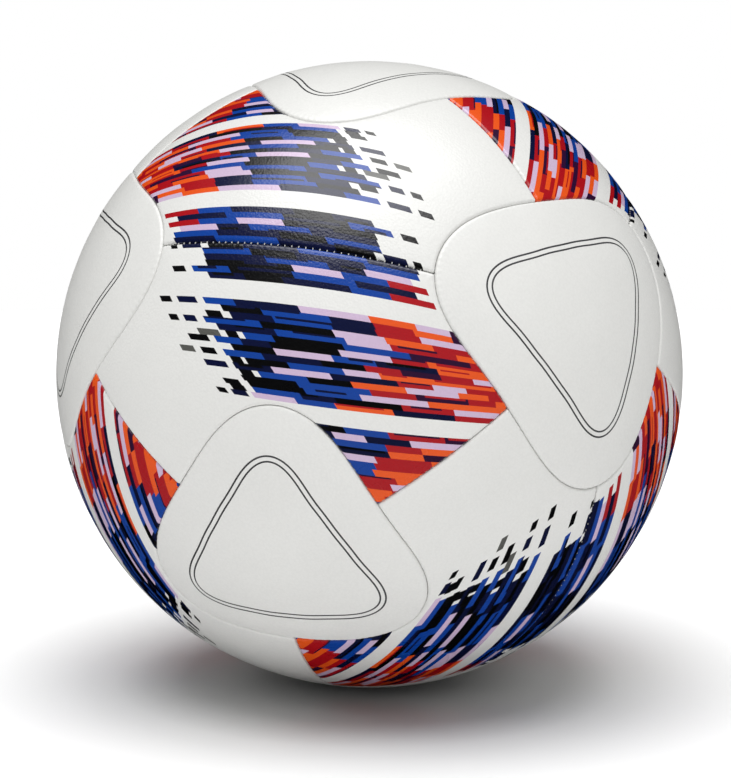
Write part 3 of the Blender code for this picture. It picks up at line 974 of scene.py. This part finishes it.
def fabric_material(name):
    """Woven lining laminated on foam: two sets of threads that cross."""
    mat, tree, shader = nodes_of(name)
    coords = tree.nodes.new("ShaderNodeTexCoord").outputs["Object"]
    warp = texture(tree, "ShaderNodeTexWave", coords, Scale=420.0, Distortion=0.6, bands_direction="X")
    weft = texture(tree, "ShaderNodeTexWave", coords, Scale=420.0, Distortion=0.6, bands_direction="Y")
    third = texture(tree, "ShaderNodeTexWave", coords, Scale=420.0, Distortion=0.6, bands_direction="Z")
    fleck = texture(tree, "ShaderNodeTexNoise", coords, Scale=700.0, Detail=4.0)
    woven = math_node(tree, "MAXIMUM", math_node(tree, "MULTIPLY", warp.outputs["Fac"], weft.outputs["Fac"]),
                      math_node(tree, "MULTIPLY", weft.outputs["Fac"], third.outputs["Fac"]))
    # painted shade: the fabric's colour is darker in the low places between the threads, where the bump is lowest
    base = tree.nodes.new("ShaderNodeMix")
    base.data_type = "RGBA"
    tree.links.new(woven, base.inputs["Factor"])
    base.inputs["A"].default_value = (0.47, 0.44, 0.36, 1.0)
    base.inputs["B"].default_value = (0.72, 0.69, 0.60, 1.0)
    tree.links.new(tint(tree, base.outputs["Result"], fleck.outputs["Fac"], 0.18), shader.inputs["Base Color"])
    tree.links.new(ramp(tree, woven, 0.0, 1.0, 0.95, 0.8), shader.inputs["Roughness"])
    relief = tree.nodes.new("ShaderNodeBump")
    relief.inputs["Strength"].default_value = 0.8
    relief.inputs["Distance"].default_value = 0.0002
    tree.links.new(woven, relief.inputs["Height"])
    tree.links.new(relief.outputs["Normal"], shader.inputs["Normal"])
    return mat


def rubber_material(name, dark, light, roughness, scale):
    """Moulded rubber: slight clouding, fine moulding grain and a soft sheen."""
    mat, tree, shader = nodes_of(name)
    coords = tree.nodes.new("ShaderNodeTexCoord").outputs["Object"]
    cloud = texture(tree, "ShaderNodeTexNoise", coords, Scale=scale, Detail=5.0, Roughness=0.6)
    grain = texture(tree, "ShaderNodeTexNoise", coords, Scale=scale * 30, Detail=3.0)
    base = tree.nodes.new("ShaderNodeMix")
    base.data_type = "RGBA"
    tree.links.new(ramp(tree, cloud.outputs["Fac"], 0.35, 0.68, 0.0, 1.0), base.inputs["Factor"])
    base.inputs["A"].default_value = (*dark, 1.0)
    base.inputs["B"].default_value = (*light, 1.0)
    tree.links.new(base.outputs["Result"], shader.inputs["Base Color"])
    tree.links.new(ramp(tree, grain.outputs["Fac"], 0.3, 0.7, roughness - 0.07, roughness + 0.09), shader.inputs["Roughness"])
    relief = tree.nodes.new("ShaderNodeBump")
    relief.inputs["Strength"].default_value = 0.35
    relief.inputs["Distance"].default_value = 0.00008
    tree.links.new(grain.outputs["Fac"], relief.inputs["Height"])
    tree.links.new(relief.outputs["Normal"], shader.inputs["Normal"])
    return mat


PRINTED = cover_material("printed_cover_skin", 0.80, 0.33, 0.75)
WHITE = cover_material("white_cover_skin", 0.90, 0.36, 0.60)
THREAD = thread_material("seam_thread", linear((214, 214, 210)))
FABRIC = fabric_material("foam_and_fabric_backing")
BUTYL = rubber_material("bladder_butyl", (0.010, 0.010, 0.012), (0.022, 0.022, 0.026), 0.42, 45.0)
VALVE = rubber_material("valve_rubber", (0.014, 0.014, 0.016), (0.032, 0.032, 0.036), 0.5, 260.0)
CORE = rubber_material("valve_core_rubber", (0.36, 0.32, 0.25), (0.50, 0.46, 0.37), 0.5, 300.0)


# ---------------------------------------------------------------- placing
def rotations():
    out = []
    for shift in range(3):
        for signs in ((1, 1, 1), (1, -1, -1), (-1, 1, -1), (-1, -1, 1)):
            turn = np.zeros((3, 3))
            for i in range(3):
                turn[i][(i + shift) % 3] = signs[i]
            out.append(turn)
    return out


ROTATIONS = rotations()
STILL = np.eye(3)


def taking(start, end):
    return next(r for r in ROTATIONS if np.linalg.norm(r @ start - end) < 1e-5)


def place(name, mesh, mat, turn, node):
    """A piece on the ball, turned from its pattern position, standing for a CAD node."""
    mesh = mesh.copy()                                   # the turn goes into the mesh, so its box is the ball's
    mesh.name = name
    mesh.transform((ATTITUDE @ Matrix(turn.tolist())).to_4x4())
    mesh.materials.append(mat)
    obj = bpy.data.objects.new(name, mesh)
    bpy.context.scene.collection.objects.link(obj)
    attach(obj, "root")
    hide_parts(node)
    return obj


# ---------------------------------------------------------------- cover panels
def triangle_basis(corner):
    normal, toward, left = frame_at(corner)
    return normal, toward, left


for family, corners in (("a", A), ("b", B)):
    for number, corner in enumerate(corners, 1):
        key = f"{family}{number}"
        edge, phase, _ = triangle_edge(corner)
        edge = loosen(edge, 5 * number + (0 if family == "a" else 3), -0.07)
        loops = double_line(corner, triangle_basis(corner), REGISTER[key])
        mesh = panel_mesh(f"triangle_{key}", triangle_basis(corner), edge, phase,
                          loops=loops, ink=line_ink(loops), hole=corner if key == "a1" else None)
        place(f"cover_triangle_{key}", mesh, WHITE, STILL, f"triangle_skin_{key}")

face_along = unit(A[0] - A[1])
face_centre = np.array([1.0, 0.0, 0.0])
face_across = unit(unit((1, 1, -1)) - np.array([1, 0, 0]) / math.sqrt(3))
face_across = unit(face_across - face_along * face_across.dot(face_along))
c, s = math.cos(math.radians(ART_TWIST)), math.sin(math.radians(ART_TWIST))
wing_basis = (face_centre, c * face_along + s * face_across, c * face_across - s * face_along)
edge, phase, corners_at = wing_edge()
edge, phase = round_corners(edge, phase, corners_at)
edge, phase = counter_clockwise(edge, phase, wing_basis)
edge = loosen(edge, 3, 0.07)
rows, thin = wing_art(6)
wing = panel_mesh("wing", wing_basis, edge, phase, lines=art_lines(rows, thin), ink=wing_ink(rows, thin))
for number, turn in enumerate(ROTATIONS, 1):
    place(f"cover_wing_{number:02d}", wing, PRINTED, turn, f"wing_skin_{number:02d}")

# ---------------------------------------------------------------- backings under the covers
def backing_mesh(name, basis, edge, phase, hole=None):
    """A foam and fabric layer: a closed shell whose rim is squeezed thin by the seam."""
    edge, phase = counter_clockwise(edge, phase, basis)
    hand = handedness(basis)
    flat_edge = flatten(edge, basis)
    points, segments, count = [flat_edge], loop_segments(0, len(edge)), len(edge)
    following, before = np.roll(edge, -1, 0), np.roll(edge, 1, 0)
    left = unit(np.cross(edge, following - before))
    for ring in (0.5, 1.3, 3.0):
        candidate = unit(edge * R + left * ring)[::2 if ring > 1 else 1]
        d, _, _ = edge_distance(candidate, edge, phase)
        flat = flatten(candidate, basis)
        ok = (d > ring * 0.97) & within(flat, flat_edge)
        points.append(flat[ok])
        count += ok.sum()
    if hole is not None:
        toward = unit(np.cross(hole, [0.3, 0.1, 1.0]))
        side = np.cross(hole, toward)
        turn = np.linspace(0, 2 * math.pi, 48, endpoint=False)[:, None]
        for ring in (0.0, 0.8):
            angle = math.asin((HOLE_RADIUS + 0.1 + ring) / R)
            flat = flatten(hole * math.cos(angle) + (toward * np.cos(turn) + side * np.sin(turn)) * math.sin(angle), basis)
            if ring == 0.0:
                segments += loop_segments(count, 48)
                hole_flat = flat
            points.append(flat)
            count += 48
    reach = math.acos(min(1.0, float((edge @ basis[0]).min()))) + 0.02
    lattice = sphere_lattice(6.0, basis, reach)
    flat = flatten(lattice, basis)
    d, _, _ = edge_distance(lattice, edge, phase)
    ok = within(flat, flat_edge) & (d > 5.0)
    if hole is not None:
        ok &= np.arccos(np.clip(lattice @ hole, -1, 1)) * R > HOLE_RADIUS + 4
    points.append(flat[ok])
    flat, tris = triangulate(np.concatenate(points), segments, hand)
    if hole is not None:
        tris = tris[~within(flat[tris].mean(1), hole_flat)]
    used = np.unique(tris)
    remap = np.full(len(flat), -1)
    remap[used] = np.arange(len(used))
    flat, tris = flat[used], remap[tris]
    directions = raise_up(flat, basis)
    d, _, _ = edge_distance(directions, edge, phase)
    quilt = 0.10 * np.sin(directions @ np.array([41.0, 17.0, 23.0])) * (1 - np.exp(-d / 3.0))
    outer = BACKING_OUTER - 0.12 - 0.7 * np.exp(-d / 0.7) + quilt
    inner = BACKING_INNER + 0.5 * np.exp(-d / 0.7)
    n = len(flat)
    vertices = np.concatenate([directions * outer[:, None], directions * inner[:, None]])
    seen = {(int(p), int(q)) for t in tris for p, q in ((t[0], t[1]), (t[1], t[2]), (t[2], t[0]))}
    walls = []
    for p, q in seen:
        if (q, p) not in seen:
            walls += [(q, p, p + n), (q, p + n, q + n)]
    faces = np.concatenate([tris, tris[:, ::-1] + n, np.array(walls)])
    mesh = finish_mesh(name, vertices, faces)
    mesh.set_sharp_from_angle(angle=math.radians(50))
    return mesh


for family, corners in (("a", A), ("b", B)):
    pattern = corners[1]
    edge, phase, _ = triangle_edge(pattern, 0.5, 1.9)
    mesh = backing_mesh(f"backing_triangle_{family}", triangle_basis(pattern), edge, phase)
    for number, target in enumerate(corners, 1):
        if family == "a" and number == 1:
            edge, phase, _ = triangle_edge(target, 0.5, 1.9)
            holed = backing_mesh("backing_triangle_valve", triangle_basis(target), edge, phase, target)
            place("lining_triangle_a1", holed, FABRIC, STILL, "triangle_backing_a1")
            continue
        place(f"lining_triangle_{family}{number}", mesh, FABRIC, taking(pattern, target),
              f"triangle_backing_{family}{number}")
edge, phase, corners_at = wing_edge(0.5, 0.5, 1.9)
wing_lining = backing_mesh("backing_wing", wing_basis, edge, phase)
for number, turn in enumerate(ROTATIONS, 1):
    place(f"lining_wing_{number:02d}", wing_lining, FABRIC, turn, f"wing_backing_{number:02d}")


# ---------------------------------------------------------------- seam thread
STITCH_SIDES = 8


def stitch_shape(length, radius):
    """A short thread bridge along X, round at both ends and bowed outwards."""
    half = length / 2 - radius
    stations = [(-half - radius * math.sin(math.radians(a)), radius * math.cos(math.radians(a))) for a in (60, 25, 0)]
    stations += [(0.0, radius)]
    stations += [(-x, r) for x, r in reversed(stations[:3])]
    vertices = [(-half - radius, 0.0, 0.0)]
    for x, r in stations:
        vertices += [(x, r * math.cos(t), r * math.sin(t))
                     for t in (2 * math.pi * i / STITCH_SIDES for i in range(STITCH_SIDES))]
    vertices.append((half + radius, 0.0, 0.0))
    vertices = np.array(vertices)
    vertices[:, 2] -= 0.35 * radius * (2 * vertices[:, 0] / length) ** 2 * 2
    faces, last = [], len(vertices) - 1
    for i in range(STITCH_SIDES):
        j = (i + 1) % STITCH_SIDES
        faces.append((0, 1 + j, 1 + i))
        for k in range(len(stations) - 1):
            a, b = 1 + k * STITCH_SIDES, 1 + (k + 1) * STITCH_SIDES
            faces += [(a + i, a + j, b + j), (a + i, b + j, b + i)]
        a = 1 + (len(stations) - 1) * STITCH_SIDES
        faces.append((a + i, a + j, last))
    return vertices, np.array(faces)


class Thread:
    """Collects the stitches and the locking thread of one seam piece."""

    def __init__(self, seed):
        self.rng = random.Random(seed)
        self.vertices, self.faces, self.count = [], [], 0

    def put(self, vertices, faces):
        a, b, c = (vertices[faces[:, k]] for k in range(3))
        if (a * np.cross(b, c)).sum() < 0:               # faces look out of the thread
            faces = faces[:, ::-1]
        self.vertices.append(vertices)
        self.faces.append(faces + self.count)
        self.count += len(vertices)

    def stitches(self, points, along, height, length, radius):
        shape, faces = stitch_shape(length, radius)
        for p, t in zip(points, unit(along)):
            across = unit(np.cross(p, t))
            twist = self.rng.uniform(-0.16, 0.16)
            x = across * math.cos(twist) + t * math.sin(twist)
            y = np.cross(p, x)
            scale = np.array([self.rng.uniform(0.94, 1.06), self.rng.uniform(0.92, 1.06), 1.0])
            local = shape * scale
            h = height + self.rng.uniform(-0.05, 0.05)
            self.put(p * h + local[:, :1] * x + local[:, 1:2] * y + local[:, 2:] * p, faces)

    def tube(self, points, height, radius, closed, sides=7):
        following = np.roll(points, -1, 0) if closed else np.concatenate([points[1:], points[-1:]])
        before = np.roll(points, 1, 0) if closed else np.concatenate([points[:1], points[:-1]])
        left = unit(np.cross(points, following - before))
        rings = [points * height + (left * math.cos(t) + points * math.sin(t)) * radius
                 for t in (2 * math.pi * i / sides for i in range(sides))]
        vertices = np.stack(rings, 1).reshape(-1, 3)
        n, faces = len(points), []
        for k in range(n if closed else n - 1):
            a, b = k * sides, ((k + 1) % n) * sides
            for i in range(sides):
                j = (i + 1) % sides
                faces += [(a + i, b + i, b + j), (a + i, b + j, a + j)]
        if not closed:
            vertices = np.concatenate([vertices, [points[0] * height], [points[-1] * height]])
            first, last = len(vertices) - 2, len(vertices) - 1
            for i in range(sides):
                j = (i + 1) % sides
                faces += [(first, i, j), (last, (n - 1) * sides + j, (n - 1) * sides + i)]
        self.put(vertices, np.array(faces))

    def mesh(self, name):
        return finish_mesh(name, np.concatenate(self.vertices), np.concatenate(self.faces))


def ring_thread(name, corner, targets, seed):
    thread = Thread(seed)
    table, length, count = THIRDS[bool(is_a(corner))]
    k = np.arange(3 * count)
    azimuth = (k // count) * 2 * math.pi / 3 + np.interp((k % count) / count * length[-1], length, table)
    p = outline_point(corner, azimuth)
    along = outline_point(corner, azimuth + 0.004) - outline_point(corner, azimuth - 0.004)
    thread.stitches(p, along, 108.72, 1.15, 0.27)
    smooth = np.concatenate([outline_azimuths(corner, math.radians(a), math.radians(a + 120), 1.4)[:-1] for a in (0, 120, 240)])
    thread.tube(outline_point(corner, smooth), 107.75, 0.28, True)
    for target in targets:
        start = outline_point(corner, junction(corner, target))
        end = outline_point(target, junction(target, corner))
        n = seam_stitches(corner, target)
        t = np.arange(1, n) / n
        p = slerp(start, end, t)
        thread.stitches(p, slerp(start, end, t + 0.01) - slerp(start, end, t - 0.01), 108.72, 1.15, 0.27)
        thread.tube(slerp(start, end, np.linspace(0.03, 0.97, 24)), 107.75, 0.28, False)
    return thread.mesh(name)


def long_thread(name, corner, target, seed):
    thread = Thread(seed)
    start = outline_point(corner, junction(corner, target))
    end = outline_point(target, junction(target, corner))
    n = seam_stitches(corner, target)
    t = np.arange(1, n) / n
    p = slerp(start, end, t)
    thread.stitches(p, slerp(start, end, t + 0.01) - slerp(start, end, t - 0.01), 109.05, 0.95, 0.21)
    thread.tube(slerp(start, end, np.linspace(0.01, 0.99, 64)), 107.9, 0.3, False)
    return thread.mesh(name)


neighbours = [b for b in B if np.linalg.norm(b - A[1]) < 1.5]
ring_a = ring_thread("thread_ring_a", A[1], neighbours, 21)
ring_b = ring_thread("thread_ring_b", B[1], [], 22)
for number, corner in enumerate(A, 1):
    place(f"stitching_a{number}", ring_a, THREAD, taking(A[1], corner), f"seam_thread_a{number}")
for number, corner in enumerate(B, 1):
    place(f"stitching_b{number}", ring_b, THREAD, taking(B[1], corner), f"seam_thread_b{number}")
long_one = long_thread("thread_long", A[0], A[1], 23)
for number, axis in enumerate(((1, 0, 0), (-1, 0, 0), (0, 1, 0), (0, -1, 0), (0, 0, 1), (0, 0, -1)), 1):
    place(f"stitching_long_{number}", long_one, THREAD, taking(np.array((1.0, 0, 0)), np.array(axis, float)),
          f"seam_thread_long_{number}")


# ---------------------------------------------------------------- bladder and valve
def rounded(profile, reach, closed, pieces=4):
    """Rounds the corners of a profile of (radius, height) points; reach is how far back each curve starts."""
    out, n = [], len(profile)
    for i in range(n):
        p = np.array(profile[i][:2], float)
        r = profile[i][2] if len(profile[i]) > 2 else reach
        if r == 0 or (not closed and i in (0, n - 1)):
            out.append(tuple(p))
            continue
        a = np.array(profile[i - 1][:2], float)
        b = np.array(profile[(i + 1) % n][:2], float)
        ra = min(r, 0.45 * np.linalg.norm(a - p))
        rb = min(r, 0.45 * np.linalg.norm(b - p))
        a, b = p + (a - p) / np.linalg.norm(a - p) * ra, p + (b - p) / np.linalg.norm(b - p) * rb
        for k in range(pieces + 1):
            t = k / pieces
            out.append(tuple(a * (1 - t) ** 2 + p * 2 * t * (1 - t) + b * t * t))
    return out


def lathe(name, profile, closed, steps):
    """A turned mesh; a profile point on the axis becomes one vertex."""
    vertices, rings = [], []
    for r, z in profile:
        if r < 1e-6:
            rings.append([len(vertices)] * steps)
            vertices.append((0.0, 0.0, z))
        else:
            rings.append(list(range(len(vertices), len(vertices) + steps)))
            vertices += [(r * math.cos(2 * math.pi * i / steps), r * math.sin(2 * math.pi * i / steps), z) for i in range(steps)]
    faces, signed = [], 0.0
    pairs = list(zip(rings, rings[1:] + (rings[:1] if closed else [])))[: len(rings) if closed else len(rings) - 1]
    for low, high in pairs:
        for i in range(steps):
            j = (i + 1) % steps
            quad = [low[i], low[j], high[j], high[i]]
            quad = [v for k, v in enumerate(quad) if v not in quad[:k]]
            if len(quad) > 2:
                faces.append(quad)
    v = np.array(vertices)
    for f in faces:
        for k in range(1, len(f) - 1):
            signed += np.dot(v[f[0]], np.cross(v[f[k]], v[f[k + 1]]))
    if signed < 0:
        faces = [f[::-1] for f in faces]
    mesh = bpy.data.meshes.new(name)
    mesh.from_pydata((v / 1000.0).tolist(), [], faces)
    mesh.shade_smooth()
    mesh.set_sharp_from_angle(angle=math.radians(38))
    return mesh


valve_turn = np.array(Vector(A[0]).to_track_quat("Z", "Y").to_matrix())
hole_angle = math.asin(4.3 / BLADDER_OUTER)
sweep = [hole_angle + (math.pi - hole_angle) * (i / 72) ** 1.15 for i in range(73)]
skin_out = [(BLADDER_OUTER * math.sin(a), BLADDER_OUTER * math.cos(a)) for a in sweep[:-1]] + [(0.0, -BLADDER_OUTER)]
skin_in = [(BLADDER_INNER * math.sin(a), BLADDER_INNER * math.cos(a)) for a in sweep[:-1]] + [(0.0, -BLADDER_INNER)]
bladder = lathe("bladder_shape", list(reversed(skin_in)) + skin_out, False, 112)
place("air_bladder", bladder, BUTYL, valve_turn, "bladder")

body = rounded([(3.8, 109.5, 0.35), (3.8, 101.0, 0.4), (8.0, 100.8, 0.3), (8.0, 99.8, 0.3), (5.2, 99.0, 0.6), (4.6, 88.0, 0.5),
                (2.6, 88.0, 0.2), (2.6, 108.3, 0.1), (1.6, 108.3, 0.1), (1.6, 109.05, 0.1), (2.05, 109.3, 0.25), (3.0, 109.42, 0.2)],
               0.2, True)
place("inflation_valve", lathe("valve_body_shape", body, True, 72), VALVE, valve_turn, "valve_body")
core = rounded([(0.0, 85.8, 0), (0.5, 94.0, 0.5), (0.7, 107.9, 0.15), (1.9, 107.9, 0.2), (2.3, 107.4, 0.2),
                (2.3, 86.6, 0.5), (1.5, 85.0, 0.3), (0.0, 85.0, 0)], 0.2, False)
place("needle_seal", lathe("valve_core_shape", core, False, 48), CORE, valve_turn, "valve_core")
patch = rounded([(4.2, 102.7, 0.15), (14.0, 101.5, 0.25), (14.0, 100.9, 0.2), (4.2, 101.9, 0.15)], 0.2, True)
place("valve_reinforcement", lathe("valve_patch_shape", patch, True, 72), BUTYL, valve_turn, "valve_patch")

# ---------------------------------------------------------------- camera
VIEW_ELEVATION = math.radians(9.0)
VIEW_DISTANCE = 1.0338
toward_camera = Vector((0.0, -math.cos(VIEW_ELEVATION), math.sin(VIEW_ELEVATION)))
right = Vector((1.0, 0.0, 0.0))
upward = Vector((0.0, math.sin(VIEW_ELEVATION), math.cos(VIEW_ELEVATION)))
lens_data = bpy.data.cameras.new("camera")
lens_data.sensor_width = 36.0
lens_data.lens = 135.53
lens_data.clip_start = 0.05
lens_data.clip_end = 60.0
camera = bpy.data.objects.new("camera", lens_data)
bpy.context.scene.collection.objects.link(camera)
camera.location = toward_camera * VIEW_DISTANCE
aim = -right * (4.0 / 2929.0 * VIEW_DISTANCE) - upward * (14.3 / 2929.0 * VIEW_DISTANCE)
camera.rotation_euler = (camera.location - aim).to_track_quat("Z", "Y").to_euler()
bpy.context.scene.camera = camera

# ---------------------------------------------------------------- floor and light
FLOOR_RADIUS = 1.0             # a round table top; the backdrop is as white as it is
floor_mesh = bpy.data.meshes.new("studio_floor")
floor_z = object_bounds()[0].z
turns = [2 * math.pi * i / 96 for i in range(96)]
floor_mesh.from_pydata([(FLOOR_RADIUS * math.cos(t), FLOOR_RADIUS * math.sin(t), floor_z) for t in turns], [], [list(range(96))])
floor = bpy.data.objects.new("studio_floor", floor_mesh)
bpy.context.scene.collection.objects.link(floor)
floor_mat, floor_tree, floor_shader = nodes_of("studio_floor")
floor_coords = floor_tree.nodes.new("ShaderNodeTexCoord").outputs["Object"]
floor_noise = texture(floor_tree, "ShaderNodeTexNoise", floor_coords, Scale=3.0, Detail=2.0)
flat_coords = floor_tree.nodes.new("ShaderNodeVectorMath")
flat_coords.operation = "MULTIPLY"
flat_coords.inputs[1].default_value = (1.0, 1.0, 0.0)
floor_tree.links.new(floor_coords, flat_coords.inputs[0])
from_contact = floor_tree.nodes.new("ShaderNodeVectorMath")
from_contact.operation = "LENGTH"
floor_tree.links.new(flat_coords.outputs["Vector"], from_contact.inputs[0])
near = ramp(floor_tree, from_contact.outputs["Value"], 0.02, 0.09, 0.40, 0.80)     # part of the contact shadow is painted here: the ambient light fills in the cast one
# the floor's colour keeps rising from 0.10 to 0.19 m out from the contact: the outer edge of the painted contact shadow
far = ramp(floor_tree, from_contact.outputs["Value"], 0.10, 0.19, 0.0, 0.17)
floor_tree.links.new(math_node(floor_tree, "ADD", near, far), floor_shader.inputs["Base Color"])
floor_shader.inputs["Specular IOR Level"].default_value = 0.0
floor_tree.links.new(ramp(floor_tree, floor_noise.outputs["Fac"], 0.3, 0.7, 0.85, 0.95), floor_shader.inputs["Roughness"])
floor_mesh.materials.append(floor_mat)
floor.visible_glossy = False     # the studio round it is dark, so the satin inks stay deep

AMBIENT = 0.36               # light from the rest of the room; it gives no reflections, so dark inks stay deep
world = bpy.data.worlds.new("studio")
bpy.context.scene.world = world
world.use_nodes = True
world.cycles_visibility.glossy = False
background = world.node_tree.nodes["Background"]
background.inputs["Color"].default_value = (1.0, 1.0, 1.0, 1.0)
seen = world.node_tree.nodes.new("ShaderNodeLightPath")
white_sweep = world.node_tree.nodes.new("ShaderNodeMapRange")
world.node_tree.links.new(seen.outputs["Is Camera Ray"], white_sweep.inputs["Value"])
white_sweep.inputs["To Min"].default_value = AMBIENT
white_sweep.inputs["To Max"].default_value = 1.0
world.node_tree.links.new(white_sweep.outputs["Result"], background.inputs["Strength"])


def soft_light(name, azimuth, elevation, radiance, spread):
    """A softbox far away: `radiance` is what it adds to a white surface that faces it."""
    data = bpy.data.lights.new(name, "SUN")
    data.energy = math.pi * radiance
    data.angle = math.radians(spread)
    obj = bpy.data.objects.new(name, data)
    bpy.context.scene.collection.objects.link(obj)
    a, e = math.radians(azimuth), math.radians(elevation)
    direction = Vector((math.sin(a) * math.cos(e), -math.cos(a) * math.cos(e), math.sin(e)))
    obj.rotation_euler = direction.to_track_quat("Z", "Y").to_euler()
    return obj


soft_light("overhead_softbox", -30.0, 84.0, 0.89, 56.0)
front_fill = soft_light("front_fill", 6.0, 8.0, 0.26, 95.0)
front_fill.visible_glossy = False

bpy.context.scene.view_settings.view_transform = "Standard"
